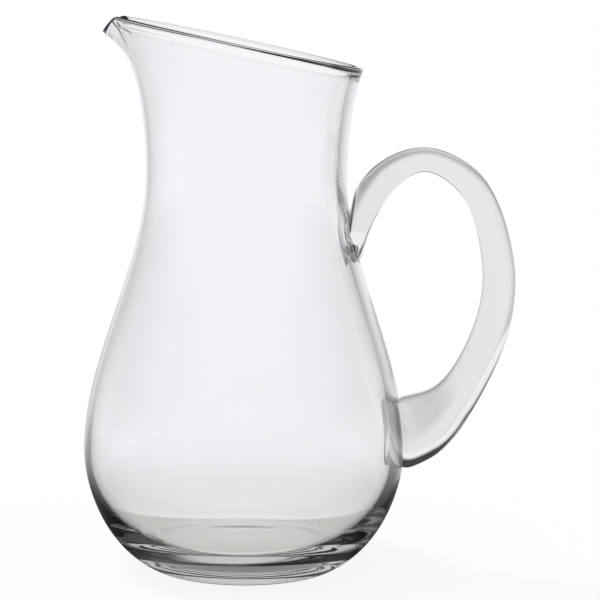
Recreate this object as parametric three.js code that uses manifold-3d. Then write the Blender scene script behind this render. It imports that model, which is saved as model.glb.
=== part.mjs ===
// A blown jug of clear glass: a pear-shaped body with a sloping rim and a pulled pouring lip, and a solid handle
// drawn out of hot glass and set on the body at two seals. Millimetres, +Z up, lip toward -X, handle toward +X.
// Heights are above the table and distances out are from the body's axis.
import * as THREE from "three";
import { mergeVertices } from "three/addons/utils/BufferGeometryUtils.js";
import Module from "manifold-3d";

const wasm = await Module();
wasm.setup();

const degree = Math.PI / 180;

// Outside of the body: foot, belly, neck and flare, each a pull of curve from one to the next.
const footRadius = 40.5;
const standingRingWidth = 13.5;
const footCorner = 2;
const heelAngle = 25 * degree;
const heelPull = 24;
const bellyRadius = 70;
const bellyHeight = 51;
const bellyPullDown = 13.5;
const bellyPullUp = 41.3;
const neckRadius = 43.4;
const neckHeight = 172;
const neckPullDown = 40.5;
const neckPullUp = 37.3;

// Rim: the flare is cut off on a slope, high at the lip and low at the handle, and dips a little between.
const rimHeight = 228;
const rimSlope = 11.2 * degree;
const rimDip = 0.6;
const flareMargin = 17;
const flareHeight = rimHeight + flareMargin;
const flareRadius = 61.3;
const flareAngle = 64 * degree;
const flarePull = 22;
const beadWidth = 5.2;
const beadHeight = 4.4;

// Pouring lip, pulled out and down from the rim.
const lipHalfWidth = 18;
const lipDepth = 21;
const lipReach = 3.8;
const lipDrop = 6.8;

// Glass thickness. The bore lies off the axis, toward the lip, as it does in hand work.
const neckWall = 3;
const bellyWall = 4.2;
const floorTop = 9.3;
const floorRadius = 32;
const floorPullDown = 20;
const floorPullOut = 20.4;
const pushUp = 0.6;
const boreShift = 1;

// Handle: how far it stands out of the belly and rises above the neck, how far below the neck it starts and above
// the belly it turns in, its strap's size at the grip, and the gap left between its seals and the body. The strap is
// rounder on its outer side.
const handleReach = 39.3;
const archRise = 7;
const tailDrop = 45;
const turnRise = 56;
const strapThickness = 14;
const strapWidth = 18;
const outerSquareness = 2;
const innerSquareness = 10;
const sealGap = 0.3;

const bodySegments = 64;
const lipCrowding = 0.35;
const handleSides = 20;
const handleSteps = 44;

const point = (out, up) => new THREE.Vector2(out, up);

const domeRadius = footRadius - standingRingWidth;
const domeCurve = new THREE.CubicBezierCurve(
  point(0, pushUp),
  point(domeRadius / 2, pushUp),
  point(domeRadius - pushUp, pushUp / 2),
  point(domeRadius, 0),
);
const heelCurve = new THREE.CubicBezierCurve(
  point(footRadius, 0),
  point(footRadius + heelPull * Math.cos(heelAngle), heelPull * Math.sin(heelAngle)),
  point(bellyRadius, bellyHeight - bellyPullDown),
  point(bellyRadius, bellyHeight),
);
const shoulderCurve = new THREE.CubicBezierCurve(
  point(bellyRadius, bellyHeight),
  point(bellyRadius, bellyHeight + bellyPullUp),
  point(neckRadius, neckHeight - neckPullDown),
  point(neckRadius, neckHeight),
);
const flareCurve = new THREE.CubicBezierCurve(
  point(neckRadius, neckHeight),
  point(neckRadius, neckHeight + neckPullUp),
  point(flareRadius - flarePull * Math.cos(flareAngle), flareHeight - flarePull * Math.sin(flareAngle)),
  point(flareRadius, flareHeight),
);
const floorCurve = new THREE.CubicBezierCurve(
  point(bellyRadius - bellyWall, bellyHeight),
  point(bellyRadius - bellyWall, bellyHeight - floorPullDown),
  point(floorRadius + floorPullOut, floorTop),
  point(floorRadius, floorTop),
);

// Outside radius at a height, by halving the stretch of curve that holds it.
function outsideRadius(height) {
  const lower = height < bellyHeight ? heelCurve : shoulderCurve;
  const curve = height < neckHeight ? lower : flareCurve;
  let low = 0;
  let high = 1;
  for (let halving = 0; halving < 30; halving += 1) {
    const middle = (low + high) / 2;
    if (curve.getPoint(middle).y < height) low = middle;
    else high = middle;
  }
  return curve.getPoint(low).x;
}

// Wall thickness between belly and rim.
function wallAt(height) {
  const share = THREE.MathUtils.smoothstep(height, bellyHeight, neckHeight);
  return THREE.MathUtils.lerp(bellyWall, neckWall, share);
}

// Points of the wall between two heights, so many millimetres in from the outside.
function wallPoints(from, to, count, inside) {
  const points = [];
  for (let step = 0; step <= count; step += 1) {
    const height = THREE.MathUtils.lerp(from, to, step / count);
    points.push(point(outsideRadius(height) - (inside ? wallAt(height) : 0), height));
  }
  return points;
}

const beadCentre = rimHeight - beadHeight / 2;
const beadBase = rimHeight - beadHeight;
const mouthRadius = outsideRadius(rimHeight);

// The body cut through its axis with a level rim: underside, outside, bead, inside and floor. The edge of the foot is
// rounded.
const footEdge = point(footRadius, 0);
const heelPoints = heelCurve.getPoints(12).filter((at) => at.distanceTo(footEdge) > footCorner);
const footBend = new THREE.QuadraticBezierCurve(point(footRadius - footCorner, 0), footEdge, heelPoints[0]);
const outsidePoints = [
  ...footBend.getPoints(4),
  ...heelPoints.slice(1),
  ...shoulderCurve.getPoints(14).slice(1),
];
const beadPoints = [];
for (let turn = -35; turn <= 215; turn += 35.714) {
  const out = outsideRadius(beadCentre) - (beadWidth / 2) * (1 - Math.cos(turn * degree));
  beadPoints.push(point(out, beadCentre + (beadHeight / 2) * Math.sin(turn * degree)));
}
const outsideProfile = [
  ...domeCurve.getPoints(4),
  ...outsidePoints,
  ...wallPoints(neckHeight, beadBase - 1, 8, false).slice(1),
];
const profile = [
  ...outsideProfile,
  ...beadPoints,
  ...wallPoints(beadBase - 1, neckHeight, 7, true),
  ...wallPoints(neckHeight, bellyHeight, 9, true).slice(1),
  ...floorCurve.getPoints(12).slice(1),
  point(0, floorTop),
];

// Share of the bore's shift at a place in the profile: none outside, all of it inside, growing round the bead.
function boreShare(place) {
  return THREE.MathUtils.clamp((place - outsideProfile.length) / (beadPoints.length - 1), 0, 1);
}

// A profile turned about Z, with its segments crowded toward the lip.
function turned(points) {
  const geometry = new THREE.LatheGeometry(points, bodySegments);
  geometry.rotateX(Math.PI / 2);
  const position = geometry.attributes.position;
  for (let index = 0; index < position.count; index += 1) {
    const radius = Math.hypot(position.getX(index), position.getY(index));
    const even = Math.atan2(position.getY(index), -position.getX(index));
    const angle = even - lipCrowding * Math.sin(even);
    position.setXY(index, -radius * Math.cos(angle), radius * Math.sin(angle));
  }
  return geometry;
}

// Raises and lowers the level rim to its slope along the flare, pulls the lip and shifts the bore.
function shapeBody(geometry) {
  const position = geometry.attributes.position;
  for (let index = 0; index < position.count; index += 1) {
    let radius = Math.hypot(position.getX(index), position.getY(index));
    let height = position.getZ(index);
    const angle = Math.atan2(position.getY(index), -position.getX(index));
    if (height > neckHeight) {
      const toward = Math.cos(angle);
      const offset = mouthRadius * Math.tan(rimSlope) * toward + rimDip * toward * toward;
      const raised = height + offset * THREE.MathUtils.smoothstep(height, neckHeight, beadBase);
      radius += outsideRadius(raised) - outsideRadius(height);
      height = raised;
      const across = Math.min(Math.abs(radius * angle) / lipHalfWidth, 1);
      const below = THREE.MathUtils.clamp((rimHeight + offset - height) / lipDepth, 0, 1);
      const pull = (1 - across * across) ** 2 * (1 - below) ** 1.25;
      radius += lipReach * pull;
      height -= lipDrop * pull;
    }
    const shift = boreShift * boreShare(index % profile.length);
    position.setXYZ(index, -radius * Math.cos(angle) - shift, radius * Math.sin(angle), height);
  }
  return geometry;
}

// One closed mesh with its shared vertices merged and no triangle without area.
function closed(geometry) {
  geometry.deleteAttribute("normal");
  geometry.deleteAttribute("uv");
  const merged = mergeVertices(geometry, 1e-3);
  const kept = [];
  const corners = merged.index.array;
  for (let start = 0; start < corners.length; start += 3) {
    const [a, b, c] = [corners[start], corners[start + 1], corners[start + 2]];
    if (a !== b && b !== c && c !== a) kept.push(a, b, c);
  }
  merged.setIndex(kept);
  merged.computeVertexNormals();
  return merged;
}

function solid(geometry) {
  const merged = closed(geometry);
  const vertProperties = new Float32Array(merged.attributes.position.array);
  const triVerts = new Uint32Array(merged.index.array);
  return new wasm.Manifold(new wasm.Mesh({ numProp: 3, vertProperties, triVerts }));
}

function geometryOf(manifold) {
  const mesh = manifold.getMesh();
  const geometry = new THREE.BufferGeometry();
  geometry.setAttribute("position", new THREE.BufferAttribute(mesh.vertProperties, 3));
  geometry.setIndex(new THREE.BufferAttribute(mesh.triVerts, 1));
  geometry.computeVertexNormals();
  return geometry;
}

// Stations along the handle, from its tail on the neck, over the arch and down to the belly: where its middle
// runs, and how thick (in its own plane) and wide (across it) the strap is there, as shares of its size at the grip.
const handleStations = [
  { out: neckRadius - 0.05 * handleReach, up: neckHeight - tailDrop, thick: 0.86, wide: 1.1 },
  { out: neckRadius + 0.117 * handleReach, up: neckHeight - 0.444 * tailDrop, thick: 0.97, wide: 1.55 },
  { out: neckRadius + 0.417 * handleReach, up: neckHeight - 0.018 * tailDrop, thick: 0.94, wide: 1.17 },
  { out: neckRadius + 0.855 * handleReach, up: neckHeight + archRise, thick: 0.75, wide: 1 },
  { out: bellyRadius + 0.695 * handleReach, up: neckHeight - 0.089 * tailDrop, thick: 0.86, wide: 0.97 },
  { out: bellyRadius + handleReach, up: neckHeight - 0.822 * tailDrop, thick: 1, wide: 1 },
  { out: bellyRadius + 0.952 * handleReach, up: bellyHeight + turnRise, thick: 1.11, wide: 1.06 },
  { out: bellyRadius + 0.578 * handleReach, up: bellyHeight + 0.446 * turnRise, thick: 1.36, wide: 1.22 },
  { out: bellyRadius + 0.204 * handleReach, up: bellyHeight + 0.214 * turnRise, thick: 2.04, wide: 1.45 },
  { out: bellyRadius - 0.254 * handleReach, up: bellyHeight + 0.098 * turnRise, thick: 2.21, wide: 1.6 },
];
const handleSpine = new THREE.CatmullRomCurve3(
  handleStations.map((station) => new THREE.Vector3(station.out, 0, station.up)),
);
const handleSize = new THREE.CatmullRomCurve3(
  handleStations.map((at) => new THREE.Vector3(at.thick * strapThickness, at.wide * strapWidth, 0)),
);

// A rounded strap along the spine: a cylinder whose rings are moved to the spine, turned square to it and sized.
function strap() {
  const geometry = new THREE.CylinderGeometry(1, 1, 1, handleSides, handleSteps);
  const position = geometry.attributes.position;
  const nothing = 1e-6;
  const rounded = (share, squareness) => {
    return Math.abs(share) < nothing ? 0 : Math.sign(share) * Math.abs(share) ** (2 / squareness);
  };
  for (let index = 0; index < position.count; index += 1) {
    const along = 0.5 + position.getY(index);
    const middle = handleSpine.getPoint(along);
    const ahead = handleSpine.getTangent(along);
    const size = handleSize.getPoint(along);
    const squareness = position.getX(index) > 0 ? outerSquareness : innerSquareness;
    const outward = (size.x / 2) * rounded(position.getX(index), squareness);
    const sideways = (size.y / 2) * rounded(position.getZ(index), squareness);
    position.setXYZ(index, middle.x - ahead.z * outward, sideways, middle.z + ahead.x * outward);
  }
  return geometry;
}

// The space that the body takes up, grown by the seals' gap, for cutting the handle's ends to its surface.
const bodySpace = turned([
  point(0, 0),
  ...outsidePoints.map((at) => point(at.x + sealGap, at.y)),
  point(0, neckHeight),
]);

const glass = { color: 0xe6eae8, roughness: 0.02, metalness: 0, transparent: true, opacity: 0.35 };

const body = new THREE.Mesh(closed(shapeBody(turned(profile))), new THREE.MeshStandardMaterial(glass));
body.name = "body";

const handleSolid = solid(strap()).subtract(solid(bodySpace));
const handle = new THREE.Mesh(geometryOf(handleSolid), new THREE.MeshStandardMaterial(glass));
handle.name = "handle";

const jug = new THREE.Group();
jug.add(body, handle);

// The origin is under the middle of the whole jug, on the table.
const middle = new THREE.Box3().setFromObject(jug).getCenter(new THREE.Vector3());
jug.position.x = -middle.x;

export default jug;
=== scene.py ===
"""A blown jug of clear glass on a pale floor: the body and the handle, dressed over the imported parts."""

import math

import bmesh
import bpy
from mathutils import Matrix, Vector


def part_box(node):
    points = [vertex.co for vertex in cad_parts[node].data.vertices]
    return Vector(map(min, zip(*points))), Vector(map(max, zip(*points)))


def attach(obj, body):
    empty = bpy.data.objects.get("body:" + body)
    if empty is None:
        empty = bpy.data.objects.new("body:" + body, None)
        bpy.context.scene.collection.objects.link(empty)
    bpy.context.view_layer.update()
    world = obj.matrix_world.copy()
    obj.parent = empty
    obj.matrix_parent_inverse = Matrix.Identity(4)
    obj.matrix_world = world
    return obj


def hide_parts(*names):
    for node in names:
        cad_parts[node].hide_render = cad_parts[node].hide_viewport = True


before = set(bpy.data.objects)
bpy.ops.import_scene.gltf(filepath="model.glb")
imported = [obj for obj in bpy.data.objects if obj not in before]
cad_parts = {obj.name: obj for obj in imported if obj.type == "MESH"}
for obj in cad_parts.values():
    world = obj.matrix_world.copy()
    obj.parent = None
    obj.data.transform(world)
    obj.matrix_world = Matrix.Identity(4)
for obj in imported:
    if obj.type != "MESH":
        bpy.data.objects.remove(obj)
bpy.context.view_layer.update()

# Sizes, in metres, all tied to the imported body's box, whose belly is 70 mm in radius. Heights are above the
# floor and distances out are from the body's axis.
body_low, body_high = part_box("body")
axis_x = (body_low.x + body_high.x) / 2
belly_radius = (body_high.x - body_low.x) / 2
mm = belly_radius / 70

# Outside of the body
foot_radius = 40.5 * mm
standing_ring_width = 13.5 * mm
foot_corner = 2 * mm
heel_angle = math.radians(25)
heel_pull = 24 * mm
belly_height = 51 * mm
belly_pull_down = 13.5 * mm
belly_pull_up = 41.3 * mm
neck_radius = 43.4 * mm
neck_height = 172 * mm
neck_pull_down = 40.5 * mm
neck_pull_up = 37.3 * mm

# Rim, high at the lip and low at the handle, with a fire-polished bead
rim_height = 228 * mm
rim_slope = math.radians(11.2)
rim_dip = 0.6 * mm
flare_margin = 17 * mm
flare_height = rim_height + flare_margin
flare_radius = 61.3 * mm
flare_angle = math.radians(64)
flare_pull = 22 * mm
bead_swell = 0.7 * mm
bead_reach = 2.6 * mm
bead_cap = 1.3 * mm
cap_base = rim_height - bead_cap

# Pouring lip
lip_half_width = 18 * mm
lip_depth = 21 * mm
lip_reach = 3.8 * mm
lip_drop = 6.8 * mm

# Glass thickness
neck_wall = 3 * mm
belly_wall = 4.2 * mm
floor_top = 9.3 * mm
floor_radius = 32 * mm
floor_pull_down = 20 * mm
floor_pull_out = 20.4 * mm
push_up = 0.6 * mm
push_up_blend = 7 * mm
bore_shift = 1 * mm

# Handle. Its flat sides lean a little out and down, more so toward its root on the belly. Its ends are rounded
# off toward the wall and sink into it, where they are fused on.
handle_reach = 39.3 * mm
arch_rise = 7 * mm
tail_drop = 45 * mm
turn_rise = 56 * mm
strap_thickness = 14 * mm
strap_width = 18 * mm
outer_squareness = 1.8
inner_squareness = 20
root_squareness = 3.2
root_start = 0.8
root_full = 0.95
lean_out = 0.07
lean_down = 0.06
root_lean_down = 0.16
seal_depth = 1.3 * mm
seal_round = 6 * mm
seal_sink = 1.7 * mm

# Fineness of the meshes
line_steps = (400, 600, 400)
dome_steps = 24
foot_steps = 12
heel_steps = 96
shoulder_steps = 60
flare_steps = 72
flare_crowding = 1.6
cap_steps = 18
floor_bend_steps = 56
floor_steps = 16
body_segments = 192
lip_crowding = 0.35
handle_sides = 48
handle_steps = 180
end_crowding = 0.8
core_margin = 20 * mm
core_stride = 12


def bezier(points, count):
    """count + 1 points along a cubic curve given by its four control points."""
    a, b, c, d = (Vector(p) for p in points)
    found = []
    for step in range(count + 1):
        t = step / count
        s = 1 - t
        found.append(s ** 3 * a + 3 * s * s * t * b + 3 * s * t * t * c + t ** 3 * d)
    return found


def smooth_step(low, high, value):
    share = min(max((value - low) / (high - low), 0), 1)
    return share * share * (3 - 2 * share)


heel_curve = (
    (foot_radius, 0),
    (foot_radius + heel_pull * math.cos(heel_angle), heel_pull * math.sin(heel_angle)),
    (belly_radius, belly_height - belly_pull_down),
    (belly_radius, belly_height),
)
shoulder_curve = (
    (belly_radius, belly_height),
    (belly_radius, belly_height + belly_pull_up),
    (neck_radius, neck_height - neck_pull_down),
    (neck_radius, neck_height),
)
flare_curve = (
    (neck_radius, neck_height),
    (neck_radius, neck_height + neck_pull_up),
    (flare_radius - flare_pull * math.cos(flare_angle), flare_height - flare_pull * math.sin(flare_angle)),
    (flare_radius, flare_height),
)
dome_radius = foot_radius - standing_ring_width
dome_curve = (
    (0, push_up),
    (dome_radius / 2, push_up),
    (dome_radius - push_up_blend, 0),
    (dome_radius, 0),
)
floor_curve = (
    (belly_radius - belly_wall, belly_height),
    (belly_radius - belly_wall, belly_height - floor_pull_down),
    (floor_radius + floor_pull_out, floor_top),
    (floor_radius, floor_top),
)

outside_line = bezier(heel_curve, line_steps[0])
outside_line += bezier(shoulder_curve, line_steps[1])[1:]
outside_line += bezier(flare_curve, line_steps[2])[1:]


def outside_radius(height):
    """Outside radius of the body at a height."""
    low, high = 0, len(outside_line) - 1
    while high - low > 1:
        middle = (low + high) // 2
        if outside_line[middle].y < height:
            low = middle
        else:
            high = middle
    a, b = outside_line[low], outside_line[high]
    share = (height - a.y) / (b.y - a.y)
    return a.x + share * (b.x - a.x)


mouth_radius = outside_radius(rim_height)


def wall_at(height):
    """Wall thickness between belly and rim."""
    return belly_wall + (neck_wall - belly_wall) * smooth_step(belly_height, neck_height, height)


def bead_at(height):
    """How far the bead swells out of the wall on each side, just below the rim."""
    return bead_swell / 2 * math.exp(-(((cap_base - height) / bead_reach) ** 2))


def outside_points():
    """The body's underside and outside up to the neck. The edge of the foot is rounded."""
    corner = Vector((foot_radius, 0))
    heel = [p for p in bezier(heel_curve, heel_steps) if (p - corner).length > foot_corner]
    foot_bend = (
        corner - Vector((foot_corner, 0)),
        corner - Vector((foot_corner / 3, 0)),
        heel[0].lerp(corner, 2 / 3),
        heel[0],
    )
    found = bezier(dome_curve, dome_steps)
    found += bezier(foot_bend, foot_steps)
    found += heel[1:]
    found += bezier(shoulder_curve, shoulder_steps)[1:]
    return found


def body_profile():
    """The body cut through its axis with a level rim, from the middle of its underside to the middle of its
    floor. Each point is (out, up, share of the bore's shift)."""
    points = [(p.x, p.y, 0) for p in outside_points()]
    for step in range(1, flare_steps + 1):
        height = neck_height + (cap_base - neck_height) * (1 - (1 - step / flare_steps) ** flare_crowding)
        points.append((outside_radius(height) + bead_at(height), height, 0))
    middle = outside_radius(cap_base) - wall_at(cap_base) / 2
    half = wall_at(cap_base) / 2 + bead_at(cap_base)
    flare_out = mouth_radius - outside_radius(cap_base)
    for step in range(1, cap_steps):
        turn = math.pi * step / cap_steps
        out = middle + half * math.cos(turn) + flare_out * math.sin(turn)
        points.append((out, cap_base + bead_cap * math.sin(turn), step / cap_steps))
    for step in range(flare_steps + 1):
        height = cap_base + (neck_height - cap_base) * (step / flare_steps) ** flare_crowding
        points.append((outside_radius(height) - wall_at(height) - bead_at(height), height, 1))
    for step in range(1, shoulder_steps + 1):
        height = neck_height + (belly_height - neck_height) * step / shoulder_steps
        points.append((outside_radius(height) - wall_at(height), height, 1))
    points += [(p.x, p.y, 1) for p in bezier(floor_curve, floor_bend_steps)[1:]]
    points += [(floor_radius * (1 - step / floor_steps), floor_top, 1) for step in range(1, floor_steps + 1)]
    return points


def body_point(out, up, share, angle):
    """Where a point of the level profile goes at an angle from the lip: up or down with the sloping rim,
    out and down with the lip, and over with the bore."""
    if up > neck_height:
        toward = math.cos(angle)
        offset = mouth_radius * math.tan(rim_slope) * toward + rim_dip * toward * toward
        raised = up + offset * smooth_step(neck_height, rim_height - 2 * bead_cap, up)
        out += outside_radius(raised) - outside_radius(up)
        up = raised
        across = min(abs(out * angle) / lip_half_width, 1)
        below = min(max((rim_height + offset - up) / lip_depth, 0), 1)
        pull = (1 - across * across) ** 2 * (1 - below) ** 1.25
        out += lip_reach * pull
        up -= lip_drop * pull
    return Vector((axis_x - out * math.cos(angle) - bore_shift * share, out * math.sin(angle), up))


def mesh_object(name, bm):
    for face in bm.faces:
        face.smooth = True
    mesh = bpy.data.meshes.new(name)
    bm.to_mesh(mesh)
    bm.free()
    made = bpy.data.objects.new(name, mesh)
    bpy.context.scene.collection.objects.link(made)
    return made


def skin(name, rings):
    """A closed mesh through rings of points. A ring of one point closes an end."""
    bm = bmesh.new()
    made = [[bm.verts.new(p) for p in ring] for ring in rings]
    for lower, upper in zip(made, made[1:]):
        count = max(len(lower), len(upper))
        for k in range(count):
            n = (k + 1) % count
            near = [lower[k % len(lower)], lower[n % len(lower)]]
            far = [upper[n % len(upper)], upper[k % len(upper)]]
            bm.faces.new(list(dict.fromkeys(near + far)))
    bmesh.ops.recalc_face_normals(bm, faces=bm.faces)
    return mesh_object(name, bm)


def make_body():
    angles = []
    for k in range(body_segments):
        even = 2 * math.pi * k / body_segments - math.pi
        angles.append(even - lip_crowding * math.sin(even))
    rings = []
    for out, up, share in body_profile():
        if out == 0:
            rings.append([body_point(0, up, share, 0)])
        else:
            rings.append([body_point(out, up, share, angle) for angle in angles])
    return skin("jug_body", rings)


# Stations along the handle, from its tail on the neck over the arch to the belly: how far out and up its
# middle runs, and how thick (in its own plane) and wide (across it) the strap is there, as shares of its size
# at the grip.
handle_stations = (
    (neck_radius - 0.05 * handle_reach, neck_height - tail_drop, 0.86, 1.1),
    (neck_radius + 0.117 * handle_reach, neck_height - 0.444 * tail_drop, 0.97, 1.55),
    (neck_radius + 0.417 * handle_reach, neck_height - 0.018 * tail_drop, 0.94, 1.17),
    (neck_radius + 0.855 * handle_reach, neck_height + arch_rise, 0.75, 1),
    (belly_radius + 0.695 * handle_reach, neck_height - 0.089 * tail_drop, 0.86, 0.97),
    (belly_radius + handle_reach, neck_height - 0.822 * tail_drop, 1, 1),
    (belly_radius + 0.952 * handle_reach, belly_height + turn_rise, 1.11, 1.06),
    (belly_radius + 0.578 * handle_reach, belly_height + 0.446 * turn_rise, 1.36, 1.22),
    (belly_radius + 0.204 * handle_reach, belly_height + 0.214 * turn_rise, 2.1, 1.45),
    (belly_radius - 0.254 * handle_reach, belly_height + 0.098 * turn_rise, 2.45, 1.6),
)


def along_stations(share):
    """The station at a share of the handle's length, on a smooth curve through all of them."""
    last = len(handle_stations) - 1
    place = share * last
    k = min(int(place), last - 1)
    t = place - k
    p = [Vector(handle_stations[min(max(k + n, 0), last)]) for n in (-1, 0, 1, 2)]
    if k == 0:
        p[0] = 2 * p[1] - p[2]
    if k == last - 1:
        p[3] = 2 * p[2] - p[1]
    knots = [0.0]
    for a, b in zip(p, p[1:]):
        knots.append(knots[-1] + math.sqrt((b.xy - a.xy).length))
    at = knots[1] + t * (knots[2] - knots[1])

    def mix(a, b, i, j):
        return ((knots[j] - at) * a + (at - knots[i]) * b) / (knots[j] - knots[i])

    first = [mix(p[n], p[n + 1], n, n + 1) for n in range(3)]
    second = [mix(first[n], first[n + 1], n, n + 2) for n in range(2)]
    return mix(second[0], second[1], 1, 2)


def rounded(share, squareness):
    return math.copysign(abs(share) ** (2 / squareness), share)


def seal_inset(out, sideways, up):
    """How far a point of the strap is drawn in, to round the strap's ends off toward the wall."""
    gap = math.hypot(out, sideways) - outside_radius(up)
    past = min(max(seal_round - seal_sink - gap, 0), seal_round - seal_sink)
    return seal_round - math.sqrt(seal_round ** 2 - past ** 2)


def strap_ring(share):
    """The points round the strap at a share of its length."""
    reach = 0.5 / handle_steps
    here = along_stations(share)
    ahead = along_stations(min(share + reach, 1)) - along_stations(max(share - reach, 0))
    ahead = ahead.xy.normalized()
    away = Vector((-ahead.y, ahead.x))
    root_share = smooth_step(root_start, root_full, share)
    outer = outer_squareness + (root_squareness - outer_squareness) * root_share
    lowness = smooth_step(neck_height, belly_height, here.y)
    lean = Vector((lean_out, -lean_down - (root_lean_down - lean_down) * lowness))
    ring = []
    for k in range(handle_sides):
        turn = 2 * math.pi * k / handle_sides
        squareness = outer if math.cos(turn) > 0 else inner_squareness
        thick_share = rounded(math.cos(turn), squareness)
        wide_share = rounded(math.sin(turn), squareness)
        outward = here.z * strap_thickness / 2 * thick_share
        sideways = here.w * strap_width / 2 * wide_share
        flat = here.xy + outward * away + sideways * lean
        inset = seal_inset(flat.x, sideways, flat.y)
        outward -= inset * thick_share
        sideways -= inset * wide_share
        flat = here.xy + outward * away + sideways * lean
        ring.append(Vector((axis_x + flat.x, sideways, flat.y)))
    return ring


def make_core():
    """The space further in than the depth to which the seals sink into the wall."""
    line = [p for p in outside_line[::core_stride] if p.y < neck_height + core_margin]
    turns = [2 * math.pi * k / body_segments for k in range(body_segments)]
    rings = [[Vector((axis_x, 0, 0))]]
    for p in line:
        reach = p.x - seal_depth
        rings.append([Vector((axis_x + reach * math.cos(a), reach * math.sin(a), p.y)) for a in turns])
    rings.append([Vector((axis_x, 0, line[-1].y))])
    return skin("core", rings)


def make_handle():
    """A rounded strap along the stations, its ends cut off inside the body's wall."""
    rings = []
    for n in range(handle_steps + 1):
        even = n / handle_steps
        rings.append(strap_ring(even - end_crowding * math.sin(2 * math.pi * even) / (2 * math.pi)))
    tail, root = along_stations(0), along_stations(1)
    rings.insert(0, [Vector((axis_x + tail.x, 0, tail.y))])
    rings.append([Vector((axis_x + root.x, 0, root.y))])
    strap = skin("jug_handle", rings)
    core = make_core()
    cut = strap.modifiers.new("cut", "BOOLEAN")
    cut.operation = "DIFFERENCE"
    cut.solver = "EXACT"
    cut.object = core
    shaped = bpy.data.meshes.new_from_object(strap.evaluated_get(bpy.context.evaluated_depsgraph_get()))
    strap.modifiers.clear()
    strap.data = shaped
    bpy.data.objects.remove(core)
    return strap


# Glass
glass_bend = 1.52
glass_tint = (0.72, 0.74, 0.715, 1)
glass_density = 14


def glass_material():
    material = bpy.data.materials.new("clear_glass")
    material.use_nodes = True
    nodes, links = material.node_tree.nodes, material.node_tree.links
    shader = nodes["Principled BSDF"]
    shader.inputs["Base Color"].default_value = (1, 1, 1, 1)
    shader.inputs["Roughness"].default_value = 0
    shader.inputs["IOR"].default_value = glass_bend
    shader.inputs["Transmission Weight"].default_value = 1
    absorption = nodes.new("ShaderNodeVolumeAbsorption")
    absorption.inputs["Color"].default_value = glass_tint
    absorption.inputs["Density"].default_value = glass_density
    links.new(absorption.outputs["Volume"], nodes["Material Output"].inputs["Volume"])
    return material


glass = glass_material()
body = make_body()
handle = make_handle()
for piece, node in ((body, "body"), (handle, "handle")):
    piece.data.materials.clear()
    piece.data.materials.append(glass)
    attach(piece, "root")
    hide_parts(node)

# Camera
camera_distance = 950 * mm
camera_height = 249.2 * mm
aim_out = 23.67 * mm
aim_height = 117.1 * mm
pixels_per_metre = 2.322 / mm
picture_width = 600
sensor_width = 36
camera_roll = math.radians(0.71)


def make_camera():
    data = bpy.data.cameras.new("camera")
    data.sensor_width = sensor_width
    data.lens = sensor_width * pixels_per_metre * camera_distance / picture_width
    camera = bpy.data.objects.new("camera", data)
    bpy.context.scene.collection.objects.link(camera)
    place = Vector((axis_x + aim_out, -camera_distance, camera_height))
    aim = Vector((axis_x + aim_out, 0, aim_height))
    turn = (aim - place).to_track_quat("-Z", "Y").to_matrix().to_4x4()
    camera.matrix_world = Matrix.Translation(place) @ turn @ Matrix.Rotation(camera_roll, 4, "Z")
    bpy.context.scene.camera = camera


make_camera()


# Shader nodes: each function adds what it needs to a node tree and gives back the socket with the result.
def calc(tree, operation, *values):
    node = tree.nodes.new("ShaderNodeMath")
    node.operation = operation
    for socket, value in zip(node.inputs, values):
        if isinstance(value, bpy.types.NodeSocket):
            tree.links.new(value, socket)
        else:
            socket.default_value = value
    return node.outputs["Value"]


def calc_vector(tree, operation, vector, constant):
    node = tree.nodes.new("ShaderNodeVectorMath")
    node.operation = operation
    tree.links.new(vector, node.inputs[0])
    node.inputs[1].default_value = constant
    return node.outputs["Vector"]


def length_of(tree, vector):
    node = tree.nodes.new("ShaderNodeVectorMath")
    node.operation = "LENGTH"
    tree.links.new(vector, node.inputs[0])
    return node.outputs["Value"]


def part_of(tree, vector, axis):
    node = tree.nodes.new("ShaderNodeSeparateXYZ")
    tree.links.new(vector, node.inputs["Vector"])
    return node.outputs[axis]


def mix_colours(tree, factor, off, on):
    node = tree.nodes.new("ShaderNodeMix")
    node.data_type = "RGBA"
    tree.links.new(factor, node.inputs["Factor"])
    for name, colour in (("A", off), ("B", on)):
        if isinstance(colour, bpy.types.NodeSocket):
            tree.links.new(colour, node.inputs[name])
        else:
            node.inputs[name].default_value = colour
    return node.outputs["Result"]


def levels_along(tree, value, stops):
    """Straight runs from one (value, level) to the next."""
    node = tree.nodes.new("ShaderNodeValToRGB")
    while len(node.color_ramp.elements) < len(stops):
        node.color_ramp.elements.new(1)
    for element, (position, level) in zip(node.color_ramp.elements, stops):
        element.position = position
        element.color = (level, level, level, 1)
    tree.links.new(value, node.inputs["Fac"])
    return node.outputs["Color"]


def smooth_range(tree, value, start, end, start_level, end_level):
    node = tree.nodes.new("ShaderNodeMapRange")
    node.interpolation_type = "SMOOTHSTEP"
    settings = {
        "Value": value,
        "From Min": start,
        "From Max": end,
        "To Min": start_level,
        "To Max": end_level,
    }
    for name, setting in settings.items():
        if isinstance(setting, bpy.types.NodeSocket):
            tree.links.new(setting, node.inputs[name])
        else:
            node.inputs[name].default_value = setting
    return node.outputs["Result"]


def light_path(tree, name):
    return tree.nodes.new("ShaderNodeLightPath").outputs[name]


# Kinds of light that reach the set, told apart by their way through the glass: reflected in it at least once,
# or unreflected through one to three of its surfaces, as through one wall or through the handle.
one_piece_surfaces = 2
one_piece_spread = 1
steep = 0.2
low = 0.35


def reflected_in_glass(tree):
    return calc(tree, "GREATER_THAN", light_path(tree, "Glossy Depth"), 0)


def through_one_piece(tree):
    surfaces = light_path(tree, "Transmission Depth")
    passed = calc(tree, "COMPARE", surfaces, one_piece_surfaces, one_piece_spread)
    return calc(tree, "MULTIPLY", passed, calc(tree, "SUBTRACT", 1, reflected_in_glass(tree)))


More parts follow.
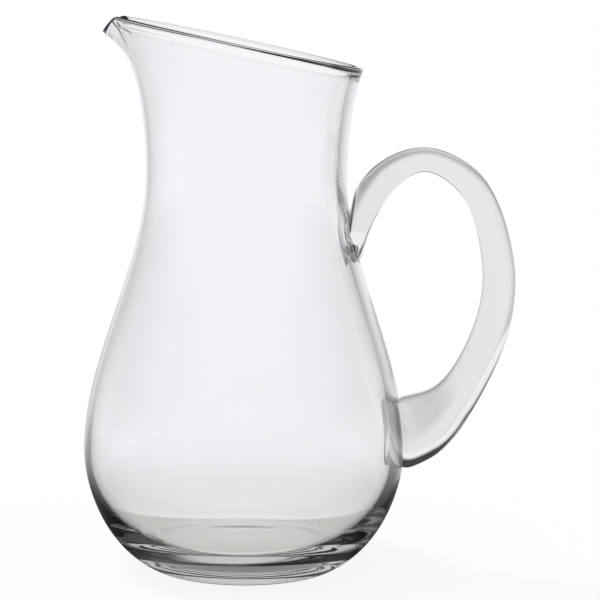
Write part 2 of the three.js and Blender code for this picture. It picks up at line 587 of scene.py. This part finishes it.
def seen_low(tree):
    """1 where light leaves the surface at a low angle, and 0 where it leaves it steeply."""
    facing = tree.nodes.new("ShaderNodeLayerWeight").outputs["Facing"]
    return smooth_range(tree, facing, steep, low, 0, 1)


# How the set differs round the jug: behind it from back_start to back_full, and before it from front_start to
# front_full, where 1 is straight back, 0 is sideways and -1 is to the front.
back_start = 0.72
back_full = 1
front_start = -0.1
front_full = -0.6
front_level = 0.35


def round_the_set(tree, vector, side_level, back_level):
    """The level that light meets in a direction, by whether that is beside, behind or before the jug."""
    flat = calc_vector(tree, "MULTIPLY", vector, (1, 1, 0))
    toward = part_of(tree, calc_vector(tree, "NORMALIZE", flat, (0, 0, 0)), "Y")
    level = smooth_range(tree, toward, back_start, back_full, side_level, back_level)
    return smooth_range(tree, toward, front_full, front_start, front_level, level)


# Floor: pale, and lit by the lamp and the world. The camera sees it lifted toward white. Light that came
# through the glass sees painted light on it near the jug, a glow that fills the jug's shadow, and a painted
# shadow, a greyer patch round the foot, where it is seen low. Where that light was reflected in the glass, or
# came through one piece of it at a low angle, the floor has painted shade: it is darker beside the jug than
# behind it, which draws the edges of the glass.
floor_size = 60
floor_gap = 0.1 * mm
floor_colour = (0.9, 0.895, 0.935, 1)
floor_lift = 0.9
# Colour of the floor's glow to light that came through the glass, for its painted light and painted shade
# alike.
painted_floor_colour = (0.9, 0.895, 0.93, 1)
painted_light_inner = 90 * mm
painted_light_outer = 220 * mm
# Painted shadow: a greyer patch round the foot, cut off straight behind it, seen only through the glass at low
# angles.
painted_shadow_colour = (0.6, 0.6, 0.57, 1)
painted_shadow_inner = 45 * mm
painted_shadow_outer = 110 * mm
painted_shadow_back = 34 * mm
painted_shadow_edge = 4 * mm
# Painted shade for light that came through one piece of glass at a low angle: the floor is dimmed, more so
# near the jug.
one_piece_level = 0.7
one_piece_painted_shade = 0.5
one_piece_shade_inner = 100 * mm
one_piece_shade_outer = 400 * mm
# Painted shade for light reflected in the glass: floor levels by distance from the axis, darkest just beside
# the foot.
painted_shade_reach = 2000 * mm
painted_shade_levels = ((41, 0.4), (48, 0.06), (85, 0.08), (300, 0.36), (600, 0.62), (1600, 0.5))


def painted_floor_strength(tree, from_axis, distance, reflected, one_piece):
    """How bright the floor is painted for light that came through the glass, with painted shade beside the
    jug.
    """
    stops = [(reach * mm / painted_shade_reach, level) for reach, level in painted_shade_levels]
    beside = levels_along(tree, calc(tree, "DIVIDE", distance, painted_shade_reach), stops)
    painted_shade_level = round_the_set(tree, from_axis, beside, 1)
    unreflected = calc(tree, "SUBTRACT", 1, reflected)
    least = calc(tree, "MULTIPLY_ADD", one_piece, one_piece_level - 1, unreflected)
    level = calc(tree, "MAXIMUM", painted_shade_level, least)
    painted_shade_share = smooth_range(tree, distance, one_piece_shade_inner, one_piece_shade_outer, one_piece_painted_shade, 1)
    return smooth_range(tree, one_piece, 0, 1, level, calc(tree, "MULTIPLY", level, painted_shade_share))


def painted_floor_tone(tree, from_axis, distance):
    """The floor's colour to light that came through the glass: pale, with a painted shadow, greyer, round the
    foot.
    """
    before_back = smooth_range(tree, part_of(tree, from_axis, "Y"), painted_shadow_back, painted_shadow_back + painted_shadow_edge, 1, 0)
    round_foot = smooth_range(tree, distance, painted_shadow_inner, painted_shadow_outer, 1, 0)
    in_painted_shadow = calc(tree, "MULTIPLY", calc(tree, "MULTIPLY", before_back, round_foot), seen_low(tree))
    return mix_colours(tree, in_painted_shadow, painted_floor_colour, painted_shadow_colour)


def floor_material():
    material = bpy.data.materials.new("floor")
    material.use_nodes = True
    tree = material.node_tree
    matt = tree.nodes["Principled BSDF"]
    matt.inputs["Base Color"].default_value = floor_colour
    matt.inputs["Roughness"].default_value = 1
    matt.inputs["Specular IOR Level"].default_value = 0
    position = tree.nodes.new("ShaderNodeTexCoord").outputs["Object"]
    from_axis = calc_vector(tree, "SUBTRACT", position, (axis_x, 0, 0))
    distance = length_of(tree, from_axis)
    camera_ray = light_path(tree, "Is Camera Ray")
    reflected = reflected_in_glass(tree)
    one_piece = calc(tree, "MULTIPLY", through_one_piece(tree), seen_low(tree))
    camera_lift = calc(tree, "MULTIPLY", camera_ray, floor_lift)
    # Painted light: near the jug the floor glows for light that came through the glass, filling the jug's
    # shadow.
    painted_light_near = smooth_range(tree, distance, painted_light_inner, painted_light_outer, 1, 0)
    lift = calc(tree, "MULTIPLY_ADD", painted_light_near, calc(tree, "SUBTRACT", 1, camera_ray), camera_lift)
    share = calc(tree, "MAXIMUM", calc(tree, "MAXIMUM", reflected, one_piece), lift)
    # The glow carries the floor's painted light and painted shade, and the white that the camera sees.
    glow = tree.nodes.new("ShaderNodeEmission")
    tone = mix_colours(tree, camera_ray, painted_floor_tone(tree, from_axis, distance), (1, 1, 1, 1))
    tree.links.new(tone, glow.inputs["Color"])
    strength = painted_floor_strength(tree, from_axis, distance, reflected, one_piece)
    tree.links.new(strength, glow.inputs["Strength"])
    blend = tree.nodes.new("ShaderNodeMixShader")
    tree.links.new(share, blend.inputs["Fac"])
    tree.links.new(matt.outputs["BSDF"], blend.inputs[1])
    tree.links.new(glow.outputs["Emission"], blend.inputs[2])
    tree.links.new(blend.outputs["Shader"], tree.nodes["Material Output"].inputs["Surface"])
    return material


bpy.ops.mesh.primitive_plane_add(size=floor_size)
floor = bpy.context.object
floor.name = "floor"
floor.location.z = -floor_gap
floor.data.materials.append(floor_material())

# Studio: levels by height, from 0 at the horizon to 1 overhead. The camera sees white only, and light that
# passed straight through the glass sees wall_levels. Light that came through one piece of glass sees
# few_bends_levels all round. Light that was reflected in the glass sees side_levels beside the jug,
# front_level before it, and behind it few_bends_levels or, after many bends, wall_levels.
wall_levels = ((0.55, 1.0), (0.72, 0.3), (0.85, 0.3), (0.95, 0.9))
few_bends_levels = ((0.1, 1.0), (0.2, 0.05), (0.7, 0.05), (0.95, 0.5))
many_bends = 4
side_levels = ((0.0, 0.4), (0.12, 0.08), (0.8, 0.1), (0.95, 0.5))


def make_studio():
    world = bpy.data.worlds.new("studio")
    bpy.context.scene.world = world
    world.use_nodes = True
    tree = world.node_tree
    direction = tree.nodes.new("ShaderNodeTexCoord").outputs["Generated"]
    height = part_of(tree, direction, "Z")
    walls = levels_along(tree, height, wall_levels)
    few_bends = levels_along(tree, height, few_bends_levels)
    bends = light_path(tree, "Ray Depth")
    behind = smooth_range(tree, bends, many_bends, many_bends + 1, few_bends, walls)
    reflected_level = round_the_set(tree, direction, levels_along(tree, height, side_levels), behind)
    level = smooth_range(tree, through_one_piece(tree), 0, 1, walls, few_bends)
    level = smooth_range(tree, reflected_in_glass(tree), 0, 1, level, reflected_level)
    level = calc(tree, "MAXIMUM", level, light_path(tree, "Is Camera Ray"))
    background = tree.nodes["Background"]
    background.inputs["Color"].default_value = (1, 1, 1, 1)
    tree.links.new(level, background.inputs["Strength"])


make_studio()

# Lamp
key_angle = math.radians(25)
key_energy = 1.75
key_direction = (0.6, -0.4, -1)


def make_key():
    data = bpy.data.lights.new("key", "SUN")
    data.angle = key_angle
    data.energy = key_energy
    key = bpy.data.objects.new("key", data)
    bpy.context.scene.collection.objects.link(key)
    key.rotation_mode = "QUATERNION"
    key.rotation_quaternion = Vector(key_direction).to_track_quat("-Z", "Y")
    key.visible_glossy = False
    key.visible_transmission = False


make_key()

scene = bpy.context.scene
scene.view_settings.view_transform = "Standard"
scene.cycles.max_bounces = 32
scene.cycles.caustics_refractive = False
scene.cycles.caustics_reflective = False
scene.cycles.transmission_bounces = 32
scene.cycles.glossy_bounces = 16
scene.cycles.transparent_max_bounces = 16
